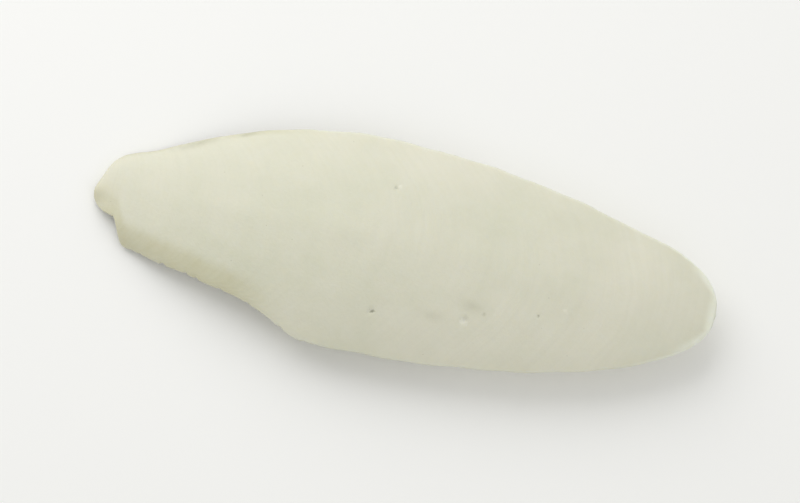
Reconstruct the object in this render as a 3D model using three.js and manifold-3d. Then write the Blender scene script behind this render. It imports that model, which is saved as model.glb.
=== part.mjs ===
// A cuttlebone, the chalky inner shell of a cuttlefish, grown as one piece and lying on its underside.
// Its upper side is an evenly domed shield with a thin rim. Its underside carries the chambered chalk:
// a smooth swelling towards the front, a long field of growth ledges running back from it into a
// shallow hollow, and two low limbs that meet in a U round the rear end of that field. A worn knob of
// a spine ends the rear tip. The near rear edge is worn back and has a bite out of it by the tip.
// Millimetres. +X points to the front end, +Z out of the shield, and the bone rests on Z = 0.
import * as THREE from "three";
import { mergeVertices } from "three/addons/utils/BufferGeometryUtils.js";
import Module from "manifold-3d";

// Driving dimensions of the whole bone.
const LENGTH = 214;
const WIDTH = 76;
const SHIELD_THICK = 1.5;
const DOME_RISE = 10; // crown of the shield above its side edges, at the widest station
const CHALK_DEPTH = 20.5; // deepest chalk below the shield, under the swelling

// Stations are fractions of the length, 0 at the rear tip and 1 at the front.
const WIDEST_AT = 0.413;
const SWELLING_AT = 0.66;
const CHALK_FRONT = 0.984; // the chalk stops here and leaves a bare shelf of shield in front of it
const CHALK_REAR = 0.03;
const LEDGE_RUN = { from: 0.085, full: 0.115, fades: 0.63, to: 0.64 }; // from the U to the swelling
const CHAMBER_RUN = { from: 0.63, full: 0.66, fades: 0.95, to: 0.98 }; // the newest chamber

// The outline is two half superellipses that meet at the widest station.
const REAR_OUTLINE = { power: 1.5, root: 0.52 };
const FRONT_OUTLINE = { power: 1.95, root: 0.52 };
const TIP_ROUNDING = { root: 0.355, till: 0.09 }; // blunts the rear tip
const FRONT_ROUNDING = { root: 0.455, from: 0.8 }; // blunts the front end a little
const FRONT_SWEEP = { by: 2.2, from: 0.8, to: 0.99 }; // the front end leans this far to the far side

// The dome of the shield flattens out towards both ends and towards the rim.
const DOME_NARROWING = 1.7;
const DOME_FULLNESS = 2.2;

// Both ends of the rim bend down from the level of its middle, the rear end further.
const REAR_DROOP = 8;
const FRONT_DROOP = 3.5;
const DROOP_POWER = 1.8;
const WING_DROOP = 3.6; // the rear side edges turn down a little more, like the lip of a spoon
const WING_AT = 0.1;
const WING_REACH = 0.12;
const WING_LIP = 6; // the higher, the narrower the lip
const RIM_SQUARENESS = 12; // the higher, the less the rim is thinned before it ends

// Bare shield left outside the chalk, measured inwards from the rim.
const REAR_FLANGE = 7;
const FRONT_FLANGE = 1.9;
const MOST_FLANGE_SHARE = 0.34;
const FLANGE_NARROWS = { from: 0.2, to: 0.6 };

// How the chalk's depth runs lengthwise and sideways.
const CHALK_SLOPE = 2.4;
const CHALK_NOSE = { power: 2.4, root: 0.8 };
const CHALK_SIDE = { rear: 6, front: 2.7, root: 0.75 }; // its section is squarer at the rear

// Low relief.
const RIB_RISE = 0.35;
const RIB_HALF_WIDTH = { rear: 3.9, front: 8.3 };
const RIB_RUN = { from: 0.05, full: 0.3, fades: 0.85, to: 0.99 };
const FURROW_DEPTH = 0.9;
const FURROW_HALF_WIDTH = 4.5;
const FURROW_RUN = { from: 0.1, full: 0.3, fades: 0.5, to: 0.68 };
const MOST_FURROW = 0.6; // of the chalk's depth
const LEDGE_DEPTH = 0.7;
const LEDGES_FADE = { from: 0.8, to: 0.97 }; // of the way out to the limbs
const CHAMBER_STEP = 0.6; // the newest chamber stands this proud of the ledges behind it
const CHAMBER_EDGE = 8;
const LIMB_RISE = 1.7;
const LIMB_HALF_WIDTH = 1.8;
const LIMB_BEND_AT = 0.17; // the limbs start to close here, and meet at LIMB_MEET_AT
const LIMB_MEET_AT = 0.055;
const LIMB_FADES = { from: 0.12, to: 0.55 };
const LIMB_SHARE = 0.93; // of the way out to the chalk's edge
const KNOB = { length: 1.2, rise: 1.3, reach: 3.4 }; // what wear has left of the spine

// Damage along the near rear edge: a long worn stretch and one bite close to the tip.
const WEAR = { from: 0, worst: 0.225, till: 0.265, to: 0.39, depth: 5.6 };
const BITE = { at: 0.02, reach: 0.031, depth: 8.7 };
const MOST_LOST = 0.5;
const KEPT_SHARE = 0.92; // wear draws in no more than the rest of a half width
const RIM_WAVER = { depth: 0.3, coarse: 23, fine: 61 };

// Small round pits in the shield, each at a station and a distance y from the middle line.
const PITS = [
  { station: 0.48, y: -24.2, radius: 1.1, depth: 0.5 },
  { station: 0.474, y: 18.8, radius: 1.2, depth: 0.35 },
  { station: 0.621, y: -20.8, radius: 1.5, depth: 0.45 },
];

// Pose on the surface: the nose-up pitch at which the swelling and both rear edges touch it, and the
// thin layer that wear has taken off where they do.
const REST_PITCH = 1.9;
const FOOT_WEAR = 0.25;

const ALONG = 108;
const AROUND = 44; // a multiple of four, so that one column runs down the middle of each face
const ARCH = 0.11; // growth lines stand this share of the length further forward at the middle
const END_CROWDING = 0.35; // crowds the stations towards both tips
const EDGE_CROWDING = 0.6; // crowds the points of the shield towards its side edges
const LIMB_COLUMN = 8 / 11; // of the columns of one underside half, this share lies inside the limb
const CHALK_COLUMN = 9 / 11;
const LEAST_HALF_WIDTH = 0.01; // keeps what is shared out by the half width finite at both tips
const PIT_FACETS = { round: 20, rings: 14 };

const clamp01 = (x) => Math.min(1, Math.max(0, x));
const ease = (from, to, x) => THREE.MathUtils.smoothstep(x, from, to);
const bump = (x, at, reach) => Math.exp(-(((x - at) / reach) ** 2));
const blockBump = (x, at, reach) => Math.exp(-(((x - at) / reach) ** 4));

// Half the width at station s, as a share of the greatest half width.
function outlineShare(s) {
  const rear = s < WIDEST_AT;
  const rearRoot = THREE.MathUtils.lerp(TIP_ROUNDING.root, REAR_OUTLINE.root, ease(0, TIP_ROUNDING.till, s));
  const blunting = ease(FRONT_ROUNDING.from, 1, s);
  const frontRoot = THREE.MathUtils.lerp(FRONT_OUTLINE.root, FRONT_ROUNDING.root, blunting);
  const power = rear ? REAR_OUTLINE.power : FRONT_OUTLINE.power;
  const root = rear ? rearRoot : frontRoot;
  const out = rear ? 1 - s / WIDEST_AT : (s - WIDEST_AT) / (1 - WIDEST_AT);
  return (1 - clamp01(out) ** power) ** root;
}

const halfWidth = (s) => (WIDTH / 2) * outlineShare(s);

// How far the middle line has moved to the far side.
const sweepAt = (s) => FRONT_SWEEP.by * ease(FRONT_SWEEP.from, FRONT_SWEEP.to, s);

// How much of the half width is left on the near side (side -1) or on the far side (side 1).
function rimShare(s, side) {
  const waver = RIM_WAVER.depth * Math.sin(RIM_WAVER.fine * s + 2 * side) * Math.sin(RIM_WAVER.coarse * s);
  if (side > 0) return 1 + waver / (WIDTH / 2);
  const worn = WEAR.depth * ease(WEAR.from, WEAR.worst, s) * (1 - ease(WEAR.till, WEAR.to, s));
  const bitten = BITE.depth * blockBump(s, BITE.at, BITE.reach);
  const lost = (worn + bitten) / Math.max(halfWidth(s), LEAST_HALF_WIDTH);
  return 1 + waver / (WIDTH / 2) - Math.min(lost, MOST_LOST);
}

// The share of the half width at which a point stands once the rim has been worn back: only the bare
// shield outside the chalk is drawn in, so the chalk keeps its shape.
function wornShare(s, side, share) {
  const rim = rimShare(s, side);
  const kept = Math.min(chalkEdge(s), KEPT_SHARE * rim);
  return share <= kept ? share : kept + ((share - kept) * (rim - kept)) / (1 - kept);
}

// How far forward of its side ends a growth line stands at the middle.
const archAt = (growth) => ARCH * Math.sin(Math.PI * growth);

// Middle level of the shield. across is -1 on the near rim, 0 on the middle line and 1 on the far rim.
function shieldLevel(s, across) {
  const endwise = 2 * s - 1;
  const droop = (endwise < 0 ? REAR_DROOP : FRONT_DROOP) * Math.abs(endwise) ** DROOP_POWER;
  const dome = DOME_RISE * outlineShare(s) ** DOME_NARROWING * (1 - Math.abs(across) ** DOME_FULLNESS);
  const wing = WING_DROOP * bump(s, WING_AT, WING_REACH) * Math.abs(across) ** WING_LIP;
  return dome - droop - wing;
}

// out is 0 on the middle line and 1 on the rim as it is now, worn or not.
const shieldHalfThickness = (out) => (SHIELD_THICK / 2) * Math.sqrt(1 - Math.abs(out) ** RIM_SQUARENESS);

// Fades in from run.from to run.full and out again from run.fades to run.to.
const along = (run, s) => ease(run.from, run.full, s) * (1 - ease(run.fades, run.to, s));

// A low broad rib down the middle of the shield, wider towards the front.
function ribRise(s, y) {
  const halfWide = THREE.MathUtils.lerp(RIB_HALF_WIDTH.rear, RIB_HALF_WIDTH.front, s);
  return RIB_RISE * bump(y, 0, halfWide) * along(RIB_RUN, s);
}

// 0 where the section is that of the rear, 1 where it is that of the front.
const frontness = (s) => ease(FLANGE_NARROWS.from, FLANGE_NARROWS.to, s);

// Where the chalk ends sideways, as a share of the half width.
function chalkEdge(s) {
  const flange = THREE.MathUtils.lerp(REAR_FLANGE, FRONT_FLANGE, frontness(s));
  return 1 - Math.min(flange / Math.max(halfWidth(s), LEAST_HALF_WIDTH), MOST_FLANGE_SHARE);
}

// Depth of the chalk on the middle line: a long slope up to the swelling, then a round front.
function chalkDepth(s) {
  if (s <= CHALK_REAR || s >= CHALK_FRONT) return 0;
  if (s < SWELLING_AT) {
    const up = (s - CHALK_REAR) / (SWELLING_AT - CHALK_REAR);
    return CHALK_DEPTH * Math.sin((Math.PI / 2) * up) ** CHALK_SLOPE;
  }
  const down = (s - SWELLING_AT) / (CHALK_FRONT - SWELLING_AT);
  return CHALK_DEPTH * (1 - down ** CHALK_NOSE.power) ** CHALK_NOSE.root;
}

// 0 on the middle line, 1 on the crest of the limb and of the U that joins the two limbs.
function towardsLimb(s, across) {
  const sideways = Math.abs(across) / (LIMB_SHARE * chalkEdge(s));
  const endwise = Math.max(0, (LIMB_BEND_AT - s) / (LIMB_BEND_AT - LIMB_MEET_AT));
  return Math.hypot(sideways, endwise);
}

// Everything that hangs below the shield at one point. row is the growth station's number: every
// second station is cut back between the limbs, which leaves the ledges.
function underside(s, across, y, growth, row) {
  const out = clamp01(Math.abs(across) / chalkEdge(s));
  const squareness = THREE.MathUtils.lerp(CHALK_SIDE.rear, CHALK_SIDE.front, frontness(s));
  const body = chalkDepth(s) * (1 - out ** squareness) ** CHALK_SIDE.root;
  const inLimbs = towardsLimb(s, across);
  const betweenLimbs = 1 - ease(LEDGES_FADE.from, LEDGES_FADE.to, inLimbs);
  const ledges = row % 2 === 0 ? 0 : along(LEDGE_RUN, growth) * betweenLimbs;
  const chamber = along(CHAMBER_RUN, growth) * (1 - out ** CHAMBER_EDGE);
  const furrow = FURROW_DEPTH * bump(y, 0, FURROW_HALF_WIDTH) * along(FURROW_RUN, s);
  const limbWidth = LIMB_HALF_WIDTH / Math.max(LIMB_SHARE * chalkEdge(s) * halfWidth(s), 2 * LIMB_HALF_WIDTH);
  const limb = LIMB_RISE * bump(inLimbs, 1, limbWidth) * (1 - ease(LIMB_FADES.from, LIMB_FADES.to, s));
  return body + CHAMBER_STEP * chamber + limb - LEDGE_DEPTH * ledges - Math.min(furrow, MOST_FURROW * body);
}

// A share of the way from the middle line to the rim, 0 to 1, turned into the across of the shield.
const shieldAcross = (share) => (1 - EDGE_CROWDING) * share + EDGE_CROWDING * Math.sin((Math.PI / 2) * share);

// The same for the underside, where one column follows the limb and one the chalk's edge.
function undersideAcross(share, growth) {
  let chalk = 1;
  for (let pass = 0; pass < 3; pass++) chalk = chalkEdge(growth - archAt(growth) * chalk ** 2);
  const limb = LIMB_SHARE * chalk;
  const { mapLinear } = THREE.MathUtils;
  if (share <= LIMB_COLUMN) return (limb * share) / LIMB_COLUMN;
  if (share <= CHALK_COLUMN) return mapLinear(share, LIMB_COLUMN, CHALK_COLUMN, limb, chalk);
  return mapLinear(share, CHALK_COLUMN, 1, chalk, 1);
}

// One vertex of a unit sphere, whose poles lie on X, moved to its place on the bone.
function place(point) {
  const ring = Math.hypot(point.y, point.z);
  const fromFront = Math.acos(THREE.MathUtils.clamp(point.x, -1, 1)) / Math.PI;
  const row = Math.round(fromFront * ALONG);
  const even = 1 - row / ALONG;
  const growth = even - (END_CROWDING * Math.sin(2 * Math.PI * even)) / (2 * Math.PI);
  const onPole = ring < 1e-6;
  const turn = onPole ? 0.5 : Math.atan2(Math.abs(point.z), point.y) / Math.PI; // 0 far rim, 1 near rim
  const side = turn < 0.5 ? 1 : -1;
  const share = Math.abs(1 - 2 * turn);
  const onTop = point.z > 0;
  const onRim = onPole || Math.abs(point.z) < 1e-6;
  const out = onTop || onRim ? shieldAcross(share) : undersideAcross(share, growth);
  const s = growth - archAt(growth) * out ** 2;
  const across = side * wornShare(s, side, out);
  const y = across * halfWidth(s);
  const knob = bump(growth, 0, KNOB.reach / LENGTH) * bump(y, 0, KNOB.reach);
  let z = shieldLevel(s, across);
  if (!onRim) {
    const half = shieldHalfThickness(out);
    z += onTop ? half + ribRise(s, y) + KNOB.rise * knob : -half - underside(s, across, y, growth, row);
  }
  return point.set(LENGTH * (s - 0.5) - KNOB.length * knob, y + sweepAt(s), z);
}

// The grown shell in its own level frame, before pits and pose.
function shellGeometry() {
  const shell = new THREE.SphereGeometry(1, AROUND, ALONG).rotateZ(-Math.PI / 2);
  const position = shell.getAttribute("position");
  const point = new THREE.Vector3();
  for (let i = 0; i < position.count; i++) {
    place(point.fromBufferAttribute(position, i));
    position.setXYZ(i, point.x, point.y, point.z);
  }
  return shell;
}

// The ball that leaves a round pit of the wanted radius and depth in the shield.
function pitGeometry({ station, y, radius, depth }) {
  const ball = (radius ** 2 + depth ** 2) / (2 * depth);
  const across = y / halfWidth(station);
  const top = shieldLevel(station, across) + shieldHalfThickness(across) + ribRise(station, y);
  const sphere = new THREE.SphereGeometry(ball, PIT_FACETS.round, PIT_FACETS.rings);
  return sphere.translate(LENGTH * (station - 0.5), y, top + ball - depth);
}

const wasm = await Module();
wasm.setup();

function solidOf(geometry) {
  const bare = geometry.clone().deleteAttribute("normal").deleteAttribute("uv");
  const merged = mergeVertices(bare, 1e-4);
  return new wasm.Manifold(
    new wasm.Mesh({
      numProp: 3,
      vertProperties: merged.getAttribute("position").array,
      triVerts: new Uint32Array(merged.index.array),
    }),
  );
}

function geometryOf(solid) {
  const { numVert, numProp, vertProperties, triVerts } = solid.getMesh();
  const position = new Float32Array(numVert * 3);
  for (let i = 0; i < numVert; i++) {
    const start = i * numProp;
    position.set(vertProperties.subarray(start, start + 3), i * 3);
  }
  return new THREE.BufferGeometry()
    .setAttribute("position", new THREE.BufferAttribute(position, 3))
    .setIndex(new THREE.BufferAttribute(triVerts, 1));
}

// Pitches the bone to its rest, lowers it by the worn layer and takes that layer off flat.
function restOnSurface(bone) {
  bone.rotateY(THREE.MathUtils.degToRad(-REST_PITCH));
  bone.computeBoundingBox();
  const { min, max } = bone.boundingBox;
  bone.translate(-(min.x + max.x) / 2, -(min.y + max.y) / 2, -min.z - FOOT_WEAR);
  const below = new THREE.BoxGeometry(2 * LENGTH, 2 * WIDTH, LENGTH).translate(0, 0, -LENGTH / 2);
  return geometryOf(solidOf(bone).subtract(solidOf(below)));
}

let grown = solidOf(shellGeometry());
for (const pit of PITS) grown = grown.subtract(solidOf(pitGeometry(pit)));
const bone = restOnSurface(geometryOf(grown));
bone.computeVertexNormals();

const cuttlebone = new THREE.Mesh(
  bone,
  new THREE.MeshStandardMaterial({ color: 0xe9e6d3, roughness: 0.62, metalness: 0 }),
);
cuttlebone.name = "cuttlebone";

const part = new THREE.Group();
part.add(cuttlebone);

export default part;
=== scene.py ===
"""A cuttlebone lying shield up on a pale floor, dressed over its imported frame.

Metres. +X points to the front end of the bone, +Z out of its shield, and it rests on Z = 0.
"""

import math

import bpy
import numpy as np
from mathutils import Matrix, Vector


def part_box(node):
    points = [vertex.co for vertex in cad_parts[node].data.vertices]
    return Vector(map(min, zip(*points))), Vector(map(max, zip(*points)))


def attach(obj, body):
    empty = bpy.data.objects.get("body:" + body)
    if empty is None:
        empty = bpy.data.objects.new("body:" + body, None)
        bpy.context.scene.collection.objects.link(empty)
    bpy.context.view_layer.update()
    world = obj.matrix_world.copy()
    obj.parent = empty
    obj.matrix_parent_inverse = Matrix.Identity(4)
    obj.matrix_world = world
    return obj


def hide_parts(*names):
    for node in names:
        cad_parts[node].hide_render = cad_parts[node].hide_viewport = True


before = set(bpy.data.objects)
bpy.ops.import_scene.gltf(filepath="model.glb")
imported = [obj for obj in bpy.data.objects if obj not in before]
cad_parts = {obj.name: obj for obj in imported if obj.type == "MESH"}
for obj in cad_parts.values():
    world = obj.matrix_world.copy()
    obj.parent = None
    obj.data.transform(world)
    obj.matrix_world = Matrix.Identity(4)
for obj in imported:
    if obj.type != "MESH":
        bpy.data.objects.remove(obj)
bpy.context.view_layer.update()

MM = 0.001
TINY = 0.01 * MM  # too small to see, and it keeps shares of the half width finite at both tips

# Driving dimensions of the whole bone.
LENGTH = 214 * MM
WIDTH = 76 * MM
SHIELD_THICK = 1.5 * MM
DOME_RISE = 10 * MM  # crown of the shield above its side edges, at the widest station
CHALK_DEPTH = 20.5 * MM  # deepest chalk below the shield, under the swelling

# Stations are shares of the length, 0 at the rear tip and 1 at the front. A run of four stations says
# where something starts to fade in, is full, starts to fade out and has gone.
WIDEST_AT = 0.413
SWELLING_AT = 0.66
CHALK_FRONT = 0.984  # the chalk stops here and leaves a bare shelf of shield in front of it
CHALK_REAR = 0.03
LEDGE_RUN = (0.085, 0.115, 0.63, 0.64)  # from the U to the swelling
CHAMBER_RUN = (0.63, 0.66, 0.95, 0.98)  # the newest chamber

# The outline is two half superellipses that meet at the widest station. A lower root makes an end blunter.
REAR_POWER, REAR_ROOT = 1.5, 0.52
TIP_ROOT, TIP_ROUNDING = 0.355, 0.09
FRONT_POWER, FRONT_ROOT = 1.95, 0.52
FRONT_TIP_ROOT, FRONT_ROUNDING = 0.455, 0.8
FRONT_SWEEP, SWEEP_RUN = 2.2 * MM, (0.8, 0.99)

# The dome flattens out towards both ends and the rim, and both ends of the rim bend down.
DOME_NARROWING = 1.7
DOME_FULLNESS = 2.2
REAR_DROOP = 8 * MM
FRONT_DROOP = 3.5 * MM
DROOP_POWER = 1.8
WING_DROOP = 3.6 * MM  # the rear side edges turn down a little more, like the lip of a spoon
WING_AT, WING_REACH = 0.1, 0.12
WING_LIP = 6  # the higher, the narrower the lip
RIM_SQUARENESS = 12  # the higher, the less the rim is thinned before it ends

# Bare shield left outside the chalk, and the chalk's section, which is squarer at the rear.
REAR_FLANGE = 7 * MM
FRONT_FLANGE = 1.9 * MM
MOST_FLANGE_SHARE = 0.34
FLANGE_NARROWS = (0.2, 0.6)
CHALK_SLOPE = 2.4
NOSE_POWER, NOSE_ROOT = 2.4, 0.8
REAR_SQUARENESS, FRONT_SQUARENESS, SIDE_ROOT = 6, 2.7, 0.75

# Low relief.
RIB_RISE = 0.35 * MM
RIB_REAR, RIB_FRONT = 3.9 * MM, 8.3 * MM
RIB_RUN = (0.05, 0.3, 0.85, 0.99)
FURROW_DEPTH = 0.9 * MM
FURROW_HALF_WIDTH = 4.5 * MM
FURROW_RUN = (0.1, 0.3, 0.5, 0.68)
MOST_FURROW = 0.6  # of the chalk's depth
LEDGE_DEPTH = 0.5 * MM
LEDGE_PITCH = 5.4 * MM
STRIA_DEPTH = 0.2 * MM
STRIA_PITCH = 1.8 * MM
LEDGES_FADE = (0.8, 0.97)  # of the way out to the limbs
LEDGE_CLIMB = 0.78  # this share of each ledge climbs, and the rest drops
RING_RISE = 0.02 * MM
RING_PITCH = 4.1 * MM
CHAMBER_STEP = 0.6 * MM  # the newest chamber stands this proud of the ledges behind it
CHAMBER_EDGE = 8
LIMB_RISE = 1.7 * MM
LIMB_HALF_WIDTH = 1.8 * MM
LIMB_BEND_AT, LIMB_MEET_AT = 0.17, 0.055  # the limbs start to close at one and meet at the other
LIMB_FADES = (0.12, 0.55)
LIMB_SHARE = 0.93  # of the way out to the chalk's edge
KNOB_LENGTH, KNOB_RISE, KNOB_REACH = 1.2 * MM, 1.3 * MM, 3.4 * MM  # what wear has left of the spine
ARCH = 0.11  # growth lines stand this share of the length further forward at the middle

# How the growth lines waver: size, pace from side to side, pace along the growth, and start.
LEDGE_WAVERS = ((1.1 * MM, 7, 0, 1.7), (0.5 * MM, 17, 40, 0), (0.3 * MM, 41, 23, 0))
RING_WAVERS = ((0.5 * MM, 9, 31, 0),)

# Wear along the near rear edge: a long worn stretch and one bite close to the tip.
WEAR_RUN = (0, 0.225, 0.265, 0.39)
WEAR_DEPTH = 5.6 * MM
BITE_AT, BITE_REACH, BITE_DEPTH = 0.02, 0.031, 8.7 * MM
MOST_LOST = 0.5
KEPT_SHARE = 0.92  # wear draws in no more than the rest of a half width
WAVER_DEPTH, WAVER_COARSE, WAVER_FINE = 0.3 * MM, 23, 61

# Small nicks all along the rim, which come where three waves along it add up.
NICK_DEPTH = 0.5 * MM
NICK_PACES, NICK_SHIFT, FINEST_SHARE = (211, 89, 331), 5, 0.4
NICKS_START, NICKS_FULL = 0.2, 1.3
NICKED_REAR = (0.3, 0.5)
NICKS_EVERYWHERE, NICKS_FAR = 0.1, 0.2

# Cloudy unevenness of the whole bone, and the crumb of its chalk, which fades out to the chalk's edge.
LUMP_SIZE, LUMP_DEPTH = 28 * MM, 0.9 * MM
CRUMB_SIZE, CRUMB_DEPTH = 1.6 * MM, 0.22 * MM
CRUMB_EDGE = (0.9, 1)

# Shallow pits in the shield: station, distance from the middle line, radius and depth.
PITS = (
    (0.48, -24.2 * MM, 1.1 * MM, 0.5 * MM),
    (0.474, 18.8 * MM, 1.2 * MM, 0.35 * MM),
    (0.621, -20.8 * MM, 1.5 * MM, 0.45 * MM),
    (0.734, -13.3 * MM, 0.7 * MM, 0.2 * MM),
)

# Swatches, as a painter reads them, 0 to 255.
SHIELD_SHADE = (212, 212, 190)
SHIELD_LIGHT = (221, 219, 200)
SHIELD_LINE = (196, 195, 172)
PALE_PATCH = (229, 228, 215)
PALE_GRAIN = (233, 232, 219)
HORNY_OLIVE = (193, 188, 148)
# The pale thin rim's colour: partly the edge's own paleness and partly painted highlight.
PALE_RIM_AND_HIGHLIGHT = (240, 243, 230)
SMUDGE = (160, 158, 128)
SHIELD_PORE = (165, 161, 136)
DIRT = (132, 132, 110)
# A painted glint, for the pale spots.
GLINT = (240, 239, 226)
CHALK_SHADE = (228, 226, 212)
CHALK_LIGHT = (235, 233, 222)
CHALK_LINE = (205, 202, 182)
LIMB_CREAM = (222, 214, 186)
THIN_CHALK = (214, 212, 190)
CHALK_PORE = (180, 177, 156)
FLOOR = (249, 249, 247)
SKY = (250, 250, 248)

# Spots of colour on the shield: station, distance from the middle line, radius, strength and swatch. The dark
# spots are dirt and the pale ones are painted glints.
SPOTS = (
    (0.48, -24.2 * MM, 0.8 * MM, 0.7, DIRT),
    (0.474, 18.8 * MM, 0.8 * MM, 0.3, DIRT),
    (0.479, 19.6 * MM, 0.8 * MM, 0.4, GLINT),
    (0.621, -20.8 * MM, 1.3 * MM, 0.5, GLINT),
    (0.624, -19.4 * MM, 0.9 * MM, 0.2, DIRT),
    (0.65, -17.4 * MM, 0.6 * MM, 0.25, DIRT),
    (0.734, -13.3 * MM, 0.5 * MM, 0.5, DIRT),
    (0.771, -9.5 * MM, 0.8 * MM, 0.35, GLINT),
)

# Soft smudges on the shield: station, its reach, sideways place, its reach, and strength. The far ones
# are placed inwards from the rim, and the near ones from the middle line.
FAR_SMUDGES = ((0.139, 0.03, 2.2 * MM, 2.0 * MM, 0.8), (0.215, 0.012, 1.0 * MM, 1.1 * MM, 1.0))
NEAR_SMUDGES = ((0.574, 0.016, -21.4 * MM, 1.5 * MM, 0.3), (0.633, 0.02, -15.6 * MM, 1.9 * MM, 0.42))

# The shield's horny edge. Each pair says where something starts to fade and where it has gone: the near
# side going across, both bands going in from the rim, and the bands' strength going forward.
NEAR_SIDE = (-4 * MM, 1 * MM)
NEAR_BAND = (4 * MM, 9 * MM)
FAR_BAND, FAR_BAND_SHARE = (0.6 * MM, 3 * MM), 0.75
HORNY_REAR = (0.24, 0.36)

# The horny tip: its place and reach, lengthwise and sideways, and its strength above and beneath.
HORNY_TIP_ALONG, HORNY_TIP_SIDEWAYS = (2 * MM, 5 * MM), (-1 * MM, 6 * MM)
HORNY_TIP_SHARE, BENEATH_TIP_SHARE = 0.8, 0.3

# The shield's pale thin rim: a fine line along the sides, partly the edge's own paleness and partly a painted
# highlight where the thin edge catches the light, and a crescent round the front end, which is a painted
# highlight.
PALE_EDGE = (0.2 * MM, 1.2 * MM)
PALE_FAR_SHARE, PALE_NEAR_SHARE, PALE_FRONT_SHARE = 0.45, 0.12, 0.85
PALE_FRONT = (0.86, 0.97)
HIGHLIGHT_CRESCENT, HIGHLIGHT_CRESCENT_FRONT = (0.8 * MM, 4.2 * MM), (0.93, 0.98)

# Where the chalk thins out over the shield, and how far the limbs' cream reaches from their crests.
THIN_CHALK_REAR = (0.04, 0.085)
THIN_CHALK_FRONT = (0.955, CHALK_FRONT)
THIN_CHALK_SIDES, THIN_SIDES_END = (0.93, 1), (0.4, 0.6)
LIMB_CREAM_REACH = 0.06

# How the bone lies.
REST_PITCH = math.radians(1.9)
FOOT_WEAR = 0.25 * MM

# The blank's rings and its flatness, and how its points are shared out over the bone.
RINGS = 50
ROUND = 26
BLANK_FLATNESS = 0.3
END_CROWDING = 0.35  # crowds the rings towards both tips
EDGE_CROWDING = 0.6  # crowds the points of the shield towards its side edges
LIMB_COLUMN = 8 / 11  # of the columns of one underside half, this share lies inside the limb
CHALK_COLUMN = 9 / 11
EDGE_PASSES = 3
EDGE_SLACK = 1.001  # what lies this near to the chalk's edge counts as inside it
ON_RIM = 1e-4 * MM
AT_TIP = 1e-5

# The camera's place round the bone, and the lights: place, size across and power.
CAMERA_TURN, CAMERA_RISE = math.radians(13.3), math.radians(74)
CAMERA_AWAY, CAMERA_LENS = 0.85, 114
LOOKED_AT = (0, 0, 12 * MM)
KEY_LIGHT = ((-0.5, 0.65, 0.68), 1.3, 7.0)
FILL_LIGHT = ((0.6, -0.5, 0.8), 0.9, 1.2)
SKY_STRENGTH = 0.62
FLOOR_SIZE = 6


def ease(start, end, x):
    """0 before start, 1 after end, and a smooth climb between them."""
    t = np.clip((x - start) / (end - start), 0, 1)
    return t * t * (3 - 2 * t)


def between(first, second, share):
    return first + (second - first) * share


def bump(x, at, reach):
    """A round hump, 1 at its middle."""
    return np.exp(-(((x - at) / reach) ** 2))


def block_bump(x, at, reach):
    """A hump with a flatter top and steeper sides."""
    return np.exp(-(((x - at) / reach) ** 4))


def ripple(along, size, length, start=0):
    """A wave along the bone."""
    return size * np.sin(along / length + start)


def run_share(run, x):
    """Fades in from the first station of a run to the second, and out from the third to the fourth."""
    return ease(run[0], run[1], x) * (1 - ease(run[2], run[3], x))


def outline_share(s):
    """Half the width at station s, as a share of the greatest half width."""
    rear = s < WIDEST_AT
    out = np.clip(np.where(rear, 1 - s / WIDEST_AT, (s - WIDEST_AT) / (1 - WIDEST_AT)), 0, 1)
    power = np.where(rear, REAR_POWER, FRONT_POWER)
    rear_root = between(TIP_ROOT, REAR_ROOT, ease(0, TIP_ROUNDING, s))
    front_root = between(FRONT_ROOT, FRONT_TIP_ROOT, ease(FRONT_ROUNDING, 1, s))
    root = np.where(rear, rear_root, front_root)
    return (1 - out**power) ** root


def half_width(s):
    return WIDTH / 2 * outline_share(s)


def sweep_at(s):
    """How far the front end leans to the far side."""
    return FRONT_SWEEP * ease(*SWEEP_RUN, s)


def frontness(s):
    """0 where the section is that of the rear, 1 where it is that of the front."""
    return ease(*FLANGE_NARROWS, s)


def chalk_edge(s):
    """Where the chalk ends sideways, as a share of the half width."""
    flange = between(REAR_FLANGE, FRONT_FLANGE, frontness(s))
    return 1 - np.minimum(flange / np.maximum(half_width(s), TINY), MOST_FLANGE_SHARE)


def nicks(s, side):
    """Little losses along the thin rim, most of them on the near rear edge."""
    fine, coarse, finest = NICK_PACES
    beat = np.sin(fine * s + NICK_SHIFT * side) * np.sin(coarse * s + side)
    beat += FINEST_SHARE * np.sin(finest * s)
    on_side = np.where(side < 0, 1 - ease(*NICKED_REAR, s), NICKS_FAR)
    return NICK_DEPTH * ease(NICKS_START, NICKS_FULL, beat) * (NICKS_EVERYWHERE + on_side)


def rim_share(s, side):
    """How much of the half width wear has left on the near side (-1) or the far side (1)."""
    waver = WAVER_DEPTH * np.sin(WAVER_FINE * s + 2 * side) * np.sin(WAVER_COARSE * s)
    worn = WEAR_DEPTH * run_share(WEAR_RUN, s) + BITE_DEPTH * block_bump(s, BITE_AT, BITE_REACH)
    lost = np.where(side < 0, worn, 0) + nicks(s, side)
    share_lost = np.minimum(lost / np.maximum(half_width(s), TINY), MOST_LOST)
    return 1 + waver / (WIDTH / 2) - share_lost


def worn_share(s, side, share):
    """Draws only the bare shield outside the chalk in to the worn rim."""
    rim = rim_share(s, side)
    kept = np.minimum(chalk_edge(s), KEPT_SHARE * rim)
    return np.where(share <= kept, share, kept + (share - kept) * (rim - kept) / (1 - kept))


def arch_at(growth):
    """How far forward of its side ends a growth line stands at the middle."""
    return ARCH * np.sin(math.pi * growth)


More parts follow.
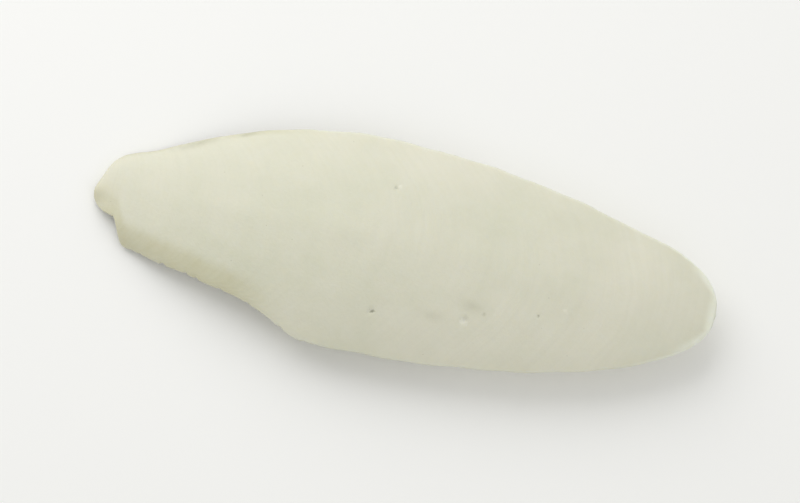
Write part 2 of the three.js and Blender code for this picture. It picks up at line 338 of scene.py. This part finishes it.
def shield_level(s, across):
    """Middle level of the shield. across is -1 on the near rim, 0 on the middle line and 1 on the far rim."""
    endwise = 2 * s - 1
    droop = np.where(endwise < 0, REAR_DROOP, FRONT_DROOP) * np.abs(endwise) ** DROOP_POWER
    dome = DOME_RISE * outline_share(s) ** DOME_NARROWING * (1 - np.abs(across) ** DOME_FULLNESS)
    wing = WING_DROOP * bump(s, WING_AT, WING_REACH) * np.abs(across) ** WING_LIP
    return dome - droop - wing


def shield_half_thickness(out):
    """out is 0 on the middle line and 1 on the rim as it is now, worn or not."""
    return SHIELD_THICK / 2 * np.sqrt(np.maximum(1 - np.abs(out) ** RIM_SQUARENESS, 0))


def rib_rise(s, y):
    """A low broad rib down the middle of the shield, wider towards the front."""
    return RIB_RISE * bump(y, 0, between(RIB_REAR, RIB_FRONT, s)) * run_share(RIB_RUN, s)


def waver_at(wavers, growth, across):
    """How far a growth line has wavered from its place."""
    waver = np.zeros_like(growth)
    for size, sideways, endwise, start in wavers:
        waver += size * np.sin(sideways * across + endwise * growth + start)
    return waver


def ring_relief(growth, across):
    """Very low uneven swells in rows along the shield's growth lines."""
    along = growth * LENGTH + waver_at(RING_WAVERS, growth, across)
    beat = np.sin(2 * math.pi * along / RING_PITCH + ripple(along, size=1.3, length=11 * MM))
    strength = 0.6 + ripple(along, size=0.4, length=17 * MM, start=3 * across)
    return RING_RISE * strength * beat


def pits_depth(s, y):
    """Shallow round hollows at the marks."""
    depth = np.zeros_like(s)
    for station, side_place, radius, deep in PITS:
        away = np.hypot((s - station) * LENGTH, y - side_place) / radius
        depth += deep * np.clip(1 - away**2, 0, 1)
    return depth


def chalk_depth(s):
    """Depth of the chalk on the middle line: a long slope up to the swelling, then a round front."""
    up = np.clip((s - CHALK_REAR) / (SWELLING_AT - CHALK_REAR), 0, 1)
    down = np.clip((s - SWELLING_AT) / (CHALK_FRONT - SWELLING_AT), 0, 1)
    slope = np.sin(math.pi / 2 * up) ** CHALK_SLOPE
    nose = (1 - down**NOSE_POWER) ** NOSE_ROOT
    return CHALK_DEPTH * np.where(s < SWELLING_AT, slope, nose)


def towards_limb(s, across):
    """0 on the middle line in front of the U, 1 on the crest of the limbs and of the U that joins them."""
    sideways = np.abs(across) / (LIMB_SHARE * chalk_edge(s))
    endwise = np.maximum(0, (LIMB_BEND_AT - s) / (LIMB_BEND_AT - LIMB_MEET_AT))
    return np.hypot(sideways, endwise)


def saw(count):
    """One gentle climb and one short drop for each whole number."""
    part = count - np.floor(count)
    return np.where(part < LEDGE_CLIMB, part / LEDGE_CLIMB, (1 - part) / (1 - LEDGE_CLIMB))


def ledge_relief(growth, across):
    """Broad ledges with finer lines between them. Every line wavers alike, as it grew."""
    along = growth * LENGTH + waver_at(LEDGE_WAVERS, growth, across)
    uneven = 1 + ripple(along, size=0.25, length=9 * MM) + ripple(along, size=0.2, length=23 * MM, start=2)
    broad = LEDGE_DEPTH * saw(along / LEDGE_PITCH + ripple(along, size=0.35, length=13 * MM))
    fine = STRIA_DEPTH * saw(along / STRIA_PITCH + ripple(along, size=0.4, length=7 * MM))
    return uneven * (broad + fine)


def limb_height(s, in_limbs):
    """The low limbs, which keep their width along the sides and fade out towards the front."""
    limb_place = LIMB_SHARE * chalk_edge(s) * half_width(s)
    width = LIMB_HALF_WIDTH / np.maximum(limb_place, 2 * LIMB_HALF_WIDTH)
    return LIMB_RISE * bump(in_limbs, 1, width) * (1 - ease(*LIMB_FADES, s))


def underside(s, across, y, growth):
    """Everything that hangs below the shield at each point."""
    out = np.clip(np.abs(across) / chalk_edge(s), 0, 1)
    squareness = between(REAR_SQUARENESS, FRONT_SQUARENESS, frontness(s))
    body = chalk_depth(s) * (1 - out**squareness) ** SIDE_ROOT
    in_limbs = towards_limb(s, across)
    on_ledges = run_share(LEDGE_RUN, growth) * (1 - ease(*LEDGES_FADE, in_limbs))
    chamber = CHAMBER_STEP * run_share(CHAMBER_RUN, growth) * (1 - out**CHAMBER_EDGE)
    furrow = FURROW_DEPTH * bump(y, 0, FURROW_HALF_WIDTH) * run_share(FURROW_RUN, s)
    relief = chamber + limb_height(s, in_limbs) - ledge_relief(growth, across) * on_ledges
    return body + relief - np.minimum(furrow, MOST_FURROW * body)


def shield_across(share):
    """A share of the way from the middle line to the rim, turned into the across of the shield."""
    return between(share, np.sin(math.pi / 2 * share), EDGE_CROWDING)


def underside_across(share, growth):
    """The same for the underside, where one column follows the limb and one the chalk's edge."""
    # The chalk's edge depends on its station and that on the edge, so a few passes find both.
    chalk = np.ones_like(growth)
    for _ in range(EDGE_PASSES):
        chalk = chalk_edge(growth - arch_at(growth) * chalk**2)
    columns = (0, LIMB_COLUMN, CHALK_COLUMN, 1)
    places = (0 * chalk, LIMB_SHARE * chalk, chalk, 1 + 0 * chalk)
    across = np.zeros_like(share)
    for start, end, low, high in zip(columns, columns[1:], places, places[1:]):
        within = (share >= start) & (share <= end)
        part = (share - start) / (end - start)
        across = np.where(within, between(low, high, part), across)
    return across


def deselect_all():
    if bpy.context.mode != "OBJECT":
        bpy.ops.object.mode_set(mode="OBJECT")
    bpy.ops.object.select_all(action="DESELECT")


def make_active(piece):
    deselect_all()
    piece.select_set(True)
    bpy.context.view_layer.objects.active = piece


def select_ring(piece, x):
    """In edit mode, selects only the ring that stands at x."""
    bpy.ops.mesh.select_all(action="DESELECT")
    bpy.ops.object.mode_set(mode="OBJECT")
    for vertex in piece.data.vertices:
        vertex.select = abs(vertex.co.x - x) < TINY
    bpy.ops.object.mode_set(mode="EDIT")


def ring_growth(number):
    """How far along the growth each ring of the blank stands, closer together at both ends."""
    even = number / RINGS
    return even - END_CROWDING * math.sin(2 * math.pi * even) / (2 * math.pi)


def make_blank():
    """An almond of rings, drawn out one from the other and closed to a point at both ends."""
    deselect_all()
    first = ring_growth(1)
    bpy.ops.mesh.primitive_circle_add(
        vertices=ROUND,
        radius=float(half_width(first)),
        fill_type="NOTHING",
        location=(first * LENGTH, 0, 0),
        rotation=(0, math.pi / 2, 0),
    )
    blank = bpy.context.object
    blank.name = "cuttlebone_bone"
    bpy.ops.object.transform_apply(location=True, rotation=True, scale=True)
    bpy.ops.object.mode_set(mode="EDIT")
    bpy.ops.mesh.select_mode(type="VERT")
    bpy.ops.mesh.select_all(action="SELECT")
    bpy.ops.transform.resize(value=(1, 1, BLANK_FLATNESS), center_override=(first * LENGTH, 0, 0))
    for number in range(2, RINGS):
        here, there = ring_growth(number - 1), ring_growth(number)
        step = (there - here) * LENGTH
        bpy.ops.mesh.extrude_region_move(TRANSFORM_OT_translate={"value": (step, 0, 0)})
        grown = float(half_width(there) / half_width(here))
        bpy.ops.transform.resize(value=(1, grown, grown), center_override=(there * LENGTH, 0, 0))
    bpy.ops.mesh.extrude_region_move(TRANSFORM_OT_translate={"value": ((1 - there) * LENGTH, 0, 0)})
    bpy.ops.mesh.merge(type="CENTER")
    select_ring(blank, first * LENGTH)
    bpy.ops.mesh.extrude_region_move(TRANSFORM_OT_translate={"value": (-first * LENGTH, 0, 0)})
    bpy.ops.mesh.merge(type="CENTER")
    bpy.ops.mesh.select_all(action="SELECT")
    bpy.ops.mesh.normals_make_consistent(inside=False)
    bpy.ops.object.mode_set(mode="OBJECT")
    return blank


def refine(piece):
    """Splits every edge of the blank into eight, and its facets to match."""
    make_active(piece)
    finer = piece.modifiers.new("finer", "SUBSURF")
    finer.subdivision_type = "SIMPLE"
    finer.levels = finer.render_levels = 3
    bpy.ops.object.modifier_apply(modifier=finer.name)


def read_points(piece):
    flat = np.empty(3 * len(piece.data.vertices))
    piece.data.vertices.foreach_get("co", flat)
    return flat.reshape(-1, 3)


def write_points(piece, points):
    piece.data.vertices.foreach_set("co", points.ravel())
    piece.data.update()


def carve(piece):
    """Moves each point of the blank to its place on the bone, and notes where on the bone it is."""
    x, y, z = read_points(piece).T
    growth = np.clip(x / LENGTH, 0, 1)
    at_tip = (growth < AT_TIP) | (growth > 1 - AT_TIP)
    on_rim = (np.abs(z) < ON_RIM) | at_tip
    on_top = (z > 0) | on_rim
    turn = np.arctan2(np.abs(z) / BLANK_FLATNESS, y) / math.pi
    side = np.where(turn < 0.5, 1, -1)
    share = np.where(at_tip, 0, np.abs(1 - 2 * turn))
    out = np.where(on_top, shield_across(share), underside_across(share, growth))
    s = growth - arch_at(growth) * out**2
    across = side * worn_share(s, side, out)
    y = across * half_width(s)
    knob = bump(growth, 0, KNOB_REACH / LENGTH) * bump(y, 0, KNOB_REACH)
    half = shield_half_thickness(out)
    above = half + rib_rise(s, y) + KNOB_RISE * knob + ring_relief(growth, across) - pits_depth(s, y)
    below = -half - underside(s, across, y, growth)
    z = shield_level(s, across) + np.where(on_rim, 0, np.where(on_top, above, below))
    x = LENGTH * (s - 0.5) - KNOB_LENGTH * knob
    write_points(piece, np.column_stack([x, y + sweep_at(s), z]))
    return {"s": s, "across": across, "y": y, "growth": growth, "side": side, "on_top": on_top}


def near_share(y):
    """1 on the near side of the bone, 0 on the far side."""
    return 1 - ease(*NEAR_SIDE, y)


def in_chalk(at):
    """0 on the middle line, 1 at the chalk's edge."""
    return np.abs(at["across"]) / chalk_edge(at["s"])


def horny_share(at, from_rim):
    """A band inside both rear edges, wide on the worn near one, the tip, and a little beneath the tip."""
    near_band = 1 - ease(*NEAR_BAND, from_rim)
    far_band = FAR_BAND_SHARE * (1 - ease(*FAR_BAND, from_rim))
    band = between(far_band, near_band, near_share(at["y"])) * (1 - ease(*HORNY_REAR, at["s"]))
    tip = bump(at["s"] * LENGTH, *HORNY_TIP_ALONG) * bump(at["y"], *HORNY_TIP_SIDEWAYS)
    beneath_tip = ~at["on_top"] * (1 - ease(*THIN_CHALK_REAR, at["growth"]))
    on_shield = band + HORNY_TIP_SHARE * tip
    return np.clip(np.maximum(on_shield, BENEATH_TIP_SHARE * beneath_tip), 0, 1)


def rim_and_highlight_share(at, from_rim):
    """The thin rim: a fine line along the sides, gone at the horny rear, that is partly the edge's own
    paleness and partly painted highlight, and a crescent of painted highlight round the front.
    """
    s = at["s"]
    along_side = between(PALE_FAR_SHARE, PALE_NEAR_SHARE, near_share(at["y"])) * ease(*HORNY_REAR, s)
    edge = 1 - ease(*PALE_EDGE, from_rim)
    sides = edge * (along_side + PALE_FRONT_SHARE * ease(*PALE_FRONT, s))
    from_front = np.minimum(from_rim, (1 - s) * LENGTH)
    highlight_crescent = (1 - ease(*HIGHLIGHT_CRESCENT, from_front)) * ease(*HIGHLIGHT_CRESCENT_FRONT, s)
    return np.maximum(sides, highlight_crescent)


def smudge_share(at, from_rim):
    """Soft dirty patches on the shield."""
    s = at["s"]
    smudge = np.zeros_like(s)
    for station, long, inwards, wide, strength in FAR_SMUDGES:
        smudge += strength * bump(s, station, long) * bump(from_rim, inwards, wide) * (at["side"] > 0)
    for station, long, side_place, wide, strength in NEAR_SMUDGES:
        smudge += strength * bump(s, station, long) * bump(at["y"], side_place, wide)
    return np.clip(smudge, 0, 1) * at["on_top"]


def limb_share(at):
    """The crests of the two limbs and of the U between them."""
    crest = bump(towards_limb(at["s"], at["across"]), 1, LIMB_CREAM_REACH)
    return crest * (1 - ease(*LIMB_FADES, at["s"]))


def thin_chalk_share(at):
    """The chalk's two ends and its rear sides."""
    ends = np.maximum(1 - ease(*THIN_CHALK_REAR, at["growth"]), ease(*THIN_CHALK_FRONT, at["s"]))
    sides = ease(*THIN_CHALK_SIDES, in_chalk(at)) * (1 - ease(*THIN_SIDES_END, at["s"]))
    return np.maximum(ends, sides)


def paint(piece, name, values):
    layer = piece.data.attributes.new(name, "FLOAT", "POINT")
    layer.data.foreach_set("value", np.asarray(values, dtype=np.float32))


def paint_zones(piece, at):
    """Point attributes that the two finishes read."""
    from_rim = (rim_share(at["s"], at["side"]) - np.abs(at["across"])) * half_width(at["s"])
    paint(piece, "growth", at["growth"])
    paint(piece, "chitin", horny_share(at, from_rim))
    # The rim attribute carries the pale thin rim and its painted highlight, and the front crescent of painted
    # highlight.
    paint(piece, "rim", rim_and_highlight_share(at, from_rim))
    paint(piece, "smudge", smudge_share(at, from_rim))
    paint(piece, "limb", limb_share(at))
    paint(piece, "thin_chalk", thin_chalk_share(at))


def weigh(piece, name, weights, steps=20):
    """Adds a vertex group that weighs each point in steps."""
    group = piece.vertex_groups.new(name=name)
    rounded = np.round(np.clip(weights, 0, 1) * steps).astype(int)
    for step in range(1, steps + 1):
        group.add(np.flatnonzero(rounded == step).tolist(), step / steps, "REPLACE")


def roughen(piece, name, size, depth, direction, group_name=""):
    """Raises and sinks the surface by a cloudy pattern, and applies it.

    The vertex group goes by its name, because a modifier applied before this one makes the group anew.
    """
    pattern = bpy.data.textures.new(name, "CLOUDS")
    pattern.noise_scale = size
    modifier = piece.modifiers.new(name, "DISPLACE")
    modifier.texture = pattern
    modifier.texture_coords = "LOCAL"
    modifier.direction = direction
    modifier.strength = depth
    modifier.mid_level = 0.5
    modifier.vertex_group = group_name
    make_active(piece)
    bpy.ops.object.modifier_apply(modifier=modifier.name)


def pitch_points(points):
    """Turns points nose up about the Y axis."""
    x, y, z = points.T
    cosine, sine = math.cos(REST_PITCH), math.sin(REST_PITCH)
    return np.column_stack([x * cosine - z * sine, y, x * sine + z * cosine])


def lay_down(piece):
    """Pitches the bone to its rest, centres it over its CAD node and flattens the worn foot."""
    pitched = pitch_points(read_points(piece))
    low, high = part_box("cuttlebone")
    middle = (pitched.min(0) + pitched.max(0)) / 2
    pitched[:, 0] += (low[0] + high[0]) / 2 - middle[0]
    pitched[:, 1] += (low[1] + high[1]) / 2 - middle[1]
    pitched[:, 2] -= pitched[:, 2].min() + FOOT_WEAR
    write_points(piece, pitched)
    make_active(piece)
    bpy.ops.object.mode_set(mode="EDIT")
    bpy.ops.mesh.select_all(action="DESELECT")
    bpy.ops.object.mode_set(mode="OBJECT")
    for index in np.flatnonzero(pitched[:, 2] < 0):
        piece.data.vertices[index].select = True
    bpy.ops.object.mode_set(mode="EDIT")
    bpy.ops.transform.resize(value=(1, 1, 0), center_override=(0, 0, 0))
    bpy.ops.object.mode_set(mode="OBJECT")


def tone(swatch):
    """A swatch turned into light."""
    parts = [part / 255 for part in swatch]
    return (*[part / 12.92 if part < 0.04045 else ((part + 0.055) / 1.055) ** 2.4 for part in parts], 1)


def put(tree, kind, settings=None, inputs=None):
    """Adds a node. An input given as a socket is linked, and any other value is set."""
    node = tree.nodes.new(kind)
    for name, value in (settings or {}).items():
        setattr(node, name, value)
    for name, value in (inputs or {}).items():
        if isinstance(value, bpy.types.NodeSocket):
            tree.links.new(value, node.inputs[name])
        else:
            node.inputs[name].default_value = value
    return node


def calculate(tree, operation, first, second=0.0):
    return put(tree, "ShaderNodeMath", {"operation": operation}, {0: first, 1: second}).outputs[0]


def fade(tree, value, start, end, low=0.0, high=1.0):
    """Maps start to low and end to high, and holds still outside them."""
    inputs = {"Value": value, "From Min": start, "From Max": end, "To Min": low, "To Max": high}
    return put(tree, "ShaderNodeMapRange", {"clamp": True}, inputs).outputs["Result"]


def blend_colours(tree, amount, first, second):
    inputs = {"Factor": amount, 6: first, 7: second}  # by number, since other sockets are named A and B too
    return put(tree, "ShaderNodeMix", {"data_type": "RGBA"}, inputs).outputs[2]


def tint(tree, colour, swatch, mask, strength=None):
    """Lays a swatch over a colour where the mask lets it."""
    amount = mask if strength is None else calculate(tree, "MULTIPLY", mask, strength)
    return blend_colours(tree, amount, colour, tone(swatch))


def read_attribute(tree, name):
    return put(tree, "ShaderNodeAttribute", {"attribute_name": name}).outputs["Fac"]


def read_place(tree):
    return put(tree, "ShaderNodeTexCoord").outputs["Object"]


def new_group(name, takes, gives):
    """An empty node group with named inputs and outputs."""
    tree = bpy.data.node_groups.new(name, "ShaderNodeTree")
    for label, value in takes.items():
        kind = "NodeSocketVector" if isinstance(value, tuple) else "NodeSocketFloat"
        tree.interface.new_socket(label, in_out="INPUT", socket_type=kind).default_value = value
    for label in gives:
        tree.interface.new_socket(label, in_out="OUTPUT", socket_type="NodeSocketFloat")
    return tree, tree.nodes.new("NodeGroupInput").outputs, tree.nodes.new("NodeGroupOutput").inputs


def make_cloudiness():
    """Soft patches of tone."""
    takes = {"Place": (0.0, 0.0, 0.0), "Scale": 20.0}
    tree, given, result = new_group("cloudiness", takes, ["Amount"])
    inputs = {"Vector": given["Place"], "Scale": given["Scale"], "Detail": 4.0, "Roughness": 0.55}
    clouds = put(tree, "ShaderNodeTexNoise", None, inputs).outputs["Fac"]
    tree.links.new(fade(tree, clouds, 0.35, 0.65), result["Amount"])
    return tree


def make_grain():
    """Fine granules, with an open pore in a few of the cells that the surface is divided into."""
    takes = {"Place": (0.0, 0.0, 0.0), "Granules": 900.0, "Pores": 260.0, "Pore Size": 0.1}
    tree, given, result = new_group("grain", takes, ["Height", "Pore"])
    inputs = {"Vector": given["Place"], "Scale": given["Granules"], "Detail": 3.0, "Roughness": 0.6}
    granules = put(tree, "ShaderNodeTexNoise", None, inputs).outputs["Fac"]
    inputs = {"Vector": given["Place"], "Scale": given["Pores"]}
    cells = put(tree, "ShaderNodeTexVoronoi", None, inputs)
    chosen = fade(tree, cells.outputs["Color"], 0.8, 0.82)
    hole = calculate(tree, "LESS_THAN", cells.outputs["Distance"], given["Pore Size"])
    pore = calculate(tree, "MULTIPLY", hole, chosen)
    tree.links.new(pore, result["Pore"])
    tree.links.new(calculate(tree, "SUBTRACT", granules, pore), result["Height"])
    return tree


def make_growth_lines():
    """Uneven lines laid down one after another along the growth."""
    takes = {"Place": (0.0, 0.0, 0.0), "Growth": 0.0, "Count": 100.0, "Waver": 1.0}
    tree, given, result = new_group("growth lines", takes, ["Line"])
    inputs = {"Vector": given["Place"], "Scale": 45.0, "Detail": 3.0}
    wander = put(tree, "ShaderNodeTexNoise", None, inputs).outputs["Fac"]
    shift = calculate(tree, "MULTIPLY", wander, given["Waver"])
    count = calculate(tree, "MULTIPLY", given["Growth"], given["Count"])
    phase = calculate(tree, "ADD", count, shift)
    inputs = {"W": phase, "Scale": 1.0, "Detail": 2.0, "Roughness": 0.7}
    strengths = put(tree, "ShaderNodeTexNoise", {"noise_dimensions": "1D"}, inputs).outputs["Fac"]
    tree.links.new(fade(tree, strengths, 0.42, 0.62), result["Line"])
    return tree


def make_speck():
    """A small mark with a ragged edge at one place."""
    takes = {"Place": (0.0, 0.0, 0.0), "Centre": (0.0, 0.0, 0.0), "Radius": 0.001}
    tree, given, result = new_group("speck", takes, ["Amount"])
    inputs = {0: given["Place"], 1: given["Centre"]}
    away = put(tree, "ShaderNodeVectorMath", {"operation": "DISTANCE"}, inputs).outputs["Value"]
    inputs = {"Vector": given["Place"], "Scale": 1100.0, "Detail": 3.0}
    ragged = put(tree, "ShaderNodeTexNoise", None, inputs).outputs["Fac"]
    reach = calculate(tree, "MULTIPLY", given["Radius"], fade(tree, ragged, 0.3, 0.7, 0.4, 1.6))
    tree.links.new(fade(tree, calculate(tree, "DIVIDE", away, reach), 1.3, 0.4), result["Amount"])
    return tree


def make_groups():
    """The effects that the finishes are mixed from."""
    return {
        "cloudiness": make_cloudiness(),
        "grain": make_grain(),
        "lines": make_growth_lines(),
        "speck": make_speck(),
    }


def use_group(tree, group, **inputs):
    """Places a group. An input is named as its socket is, in small letters and with _ for a space."""
    named = {name.replace("_", " ").title(): value for name, value in inputs.items()}
    return put(tree, "ShaderNodeGroup", {"node_tree": group}, named).outputs


def new_material(name):
    material = bpy.data.materials.new(name)
    material.use_nodes = True
    tree = material.node_tree
    return material, tree, tree.nodes["Principled BSDF"]


def bump_by(tree, height, strength, distance, below=None):
    inputs = {"Height": height, "Strength": strength, "Distance": distance}
    if below is not None:
        inputs["Normal"] = below
    return put(tree, "ShaderNodeBump", None, inputs).outputs["Normal"]


def connect(tree, shader, **looks):
    """Links colour, roughness and normal to the shader."""
    sockets = {"colour": "Base Color", "roughness": "Roughness", "normal": "Normal"}
    for look, value in looks.items():
        tree.links.new(value, shader.inputs[sockets[look]])


def let_light_in(shader, weight, radius, scale):
    """A little light spreads below the surface."""
    shader.inputs["Subsurface Weight"].default_value = weight
    shader.inputs["Subsurface Radius"].default_value = radius
    shader.inputs["Subsurface Scale"].default_value = scale


def make_shield_finish(groups, spots):
    """Satin ivory with faint growth lines, an olive horny edge at the rear, a few dirty marks, a few painted
    glints and a painted highlight along the pale thin rim.
    """
    material, tree, shader = new_material("shield")
    place = read_place(tree)
    growth = read_attribute(tree, "growth")
    chitin = read_attribute(tree, "chitin")
    broad = use_group(tree, groups["cloudiness"], place=place, scale=22.0)["Amount"]
    small = use_group(tree, groups["cloudiness"], place=place, scale=140.0)["Amount"]
    lines = use_group(tree, groups["lines"], place=place, growth=growth, count=90.0, waver=2.5)["Line"]
    grain = use_group(tree, groups["grain"], place=place, granules=800.0, pores=300.0, pore_size=0.07)
    rows = calculate(tree, "MULTIPLY", lines, fade(tree, broad, 0.0, 1.0, 0.4, 1.0))

    colour = blend_colours(tree, broad, tone(SHIELD_SHADE), tone(SHIELD_LIGHT))
    colour = tint(tree, colour, SHIELD_LINE, rows, 0.08)
    colour = tint(tree, colour, PALE_PATCH, small, 0.14)
    colour = tint(tree, colour, PALE_GRAIN, fade(tree, grain["Height"], 0.3, 0.7, 0.0, 0.09))
    patches = calculate(tree, "MULTIPLY", small, 0.6)
    streaks = calculate(tree, "ADD", patches, calculate(tree, "MULTIPLY", lines, 0.2))
    colour = tint(tree, colour, HORNY_OLIVE, chitin, fade(tree, streaks, 0.0, 0.8, 0.3, 0.56))
    # The pale rim line is partly the edge's own paleness and partly painted highlight, and the front crescent
    # is painted highlight.
    rim = read_attribute(tree, "rim")
    colour = tint(tree, colour, PALE_RIM_AND_HIGHLIGHT, rim, fade(tree, small, 0.0, 1.0, 0.5, 0.9))
    smudge = read_attribute(tree, "smudge")
    colour = tint(tree, colour, SMUDGE, smudge, fade(tree, small, 0.0, 1.0, 0.3, 0.7))
    colour = tint(tree, colour, SHIELD_PORE, grain["Pore"], 0.3)
    # The dark specks are dirt, and the pale ones are painted glints.
    for centre, radius, strength, swatch in spots:
        speck = use_group(tree, groups["speck"], place=place, centre=centre, radius=radius)["Amount"]
        colour = tint(tree, colour, swatch, speck, strength)

    satin = fade(tree, small, 0.0, 1.0, 0.5, 0.6)
    roughness = calculate(tree, "SUBTRACT", satin, calculate(tree, "MULTIPLY", chitin, 0.12))
    normal = bump_by(tree, rows, strength=0.12, distance=0.12 * MM)
    normal = bump_by(tree, grain["Height"], strength=0.5, distance=0.16 * MM, below=normal)
    connect(tree, shader, colour=colour, roughness=roughness, normal=normal)
    let_light_in(shader, weight=0.2, radius=(1.0, 0.85, 0.55), scale=2.5 * MM)
    return material


def make_chalk_finish(groups):
    """Dry chalk, lined across by its growth, with smoother cream limbs."""
    material, tree, shader = new_material("chalk")
    place = read_place(tree)
    growth = read_attribute(tree, "growth")
    thin = read_attribute(tree, "thin_chalk")
    limb = read_attribute(tree, "limb")
    broad = use_group(tree, groups["cloudiness"], place=place, scale=30.0)["Amount"]
    lines = use_group(tree, groups["lines"], place=place, growth=growth, count=330.0, waver=2.5)["Line"]
    grain = use_group(tree, groups["grain"], place=place, granules=1600.0, pores=700.0, pore_size=0.12)
    front = fade(tree, growth, 0.62, 0.66)
    lined = calculate(tree, "MULTIPLY", lines, fade(tree, front, 0.0, 1.0, 0.4, 0.08))
    lined = calculate(tree, "MULTIPLY", lined, fade(tree, thin, 0.2, 1.0, 1.0, 0.0))

    colour = blend_colours(tree, broad, tone(CHALK_SHADE), tone(CHALK_LIGHT))
    colour = tint(tree, colour, CHALK_LINE, lined)
    colour = tint(tree, colour, LIMB_CREAM, limb, 0.5)
    ragged = calculate(tree, "ADD", thin, fade(tree, broad, 0.0, 1.0, -0.15, 0.15))
    colour = tint(tree, colour, THIN_CHALK, fade(tree, ragged, 0.1, 0.9))
    colour = tint(tree, colour, CHALK_PORE, grain["Pore"], 0.4)

    roughness = fade(tree, limb, 0.0, 1.0, 0.85, 0.6)
    normal = bump_by(tree, lined, strength=0.6, distance=0.25 * MM)
    normal = bump_by(tree, grain["Height"], strength=0.6, distance=0.12 * MM, below=normal)
    connect(tree, shader, colour=colour, roughness=roughness, normal=normal)
    let_light_in(shader, weight=0.15, radius=(1.0, 0.9, 0.7), scale=2 * MM)
    return material


def find_spots(piece, at):
    """Where the spots on the shield ended up once the bone was laid down."""
    points = read_points(piece)
    beneath = np.where(at["on_top"], 0, 1)  # a metre, so that no point beneath is the nearest
    spots = []
    for station, side_place, radius, strength, swatch in SPOTS:
        away = np.hypot((at["s"] - station) * LENGTH, at["y"] - side_place) + beneath
        spots.append((tuple(points[int(np.argmin(away))]), radius, strength, swatch))
    return spots


def share_out_finishes(piece, at):
    """The shield's finish goes on the shield and its bare flange, and the chalk's on the chalk."""
    inside = ~at["on_top"] & (in_chalk(at) < EDGE_SLACK)
    inside &= (at["growth"] > THIN_CHALK_REAR[0]) & (at["growth"] < CHALK_FRONT)
    for face in piece.data.polygons:
        face.material_index = int(all(inside[corner] for corner in face.vertices))


def make_floor():
    deselect_all()
    bpy.ops.mesh.primitive_plane_add(size=FLOOR_SIZE, location=(0, 0, 0))
    floor = bpy.context.object
    floor.name = "floor"
    material, _, shader = new_material("pale floor")
    shader.inputs["Base Color"].default_value = tone(FLOOR)
    shader.inputs["Roughness"].default_value = 0.9
    floor.data.materials.append(material)


def make_light(name, place, size, power):
    """A round soft light that faces the bone."""
    lamp = bpy.data.lights.new(name, "AREA")
    lamp.shape = "DISK"
    lamp.size = size
    lamp.energy = power
    light = bpy.data.objects.new(name, lamp)
    light.location = place
    light.rotation_euler = (-Vector(place)).to_track_quat("-Z", "Y").to_euler()
    bpy.context.collection.objects.link(light)


def make_camera():
    """Looks down on the shield from the near side, so that the front end points right and a little down."""
    level = math.cos(CAMERA_RISE)
    back = Vector((math.sin(CAMERA_TURN) * level, -math.cos(CAMERA_TURN) * level, math.sin(CAMERA_RISE)))
    lens = bpy.data.cameras.new("camera")
    lens.lens = CAMERA_LENS
    camera = bpy.data.objects.new("camera", lens)
    camera.location = Vector(LOOKED_AT) + back * CAMERA_AWAY
    camera.rotation_euler = back.to_track_quat("Z", "Y").to_euler()
    bpy.context.collection.objects.link(camera)
    bpy.context.scene.camera = camera


def make_studio():
    make_floor()
    make_light("key", *KEY_LIGHT)
    make_light("fill", *FILL_LIGHT)
    world = bpy.data.worlds.new("studio")
    world.use_nodes = True
    world.node_tree.nodes["Background"].inputs["Color"].default_value = tone(SKY)
    world.node_tree.nodes["Background"].inputs["Strength"].default_value = SKY_STRENGTH
    bpy.context.scene.world = world
    bpy.context.scene.view_settings.view_transform = "Standard"


def make_bone():
    bone = make_blank()
    refine(bone)
    at = carve(bone)
    paint_zones(bone, at)
    weigh(bone, "chalk", ~at["on_top"] * (1 - ease(*CRUMB_EDGE, in_chalk(at))))
    roughen(bone, "lumps", LUMP_SIZE, LUMP_DEPTH, "Z")
    roughen(bone, "crumbs", CRUMB_SIZE, CRUMB_DEPTH, "NORMAL", "chalk")
    lay_down(bone)
    groups = make_groups()
    bone.data.materials.append(make_shield_finish(groups, find_spots(bone, at)))
    bone.data.materials.append(make_chalk_finish(groups))
    share_out_finishes(bone, at)
    make_active(bone)
    bpy.ops.object.shade_smooth()
    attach(bone, "root")
    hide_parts("cuttlebone")


make_camera()
make_studio()
make_bone()
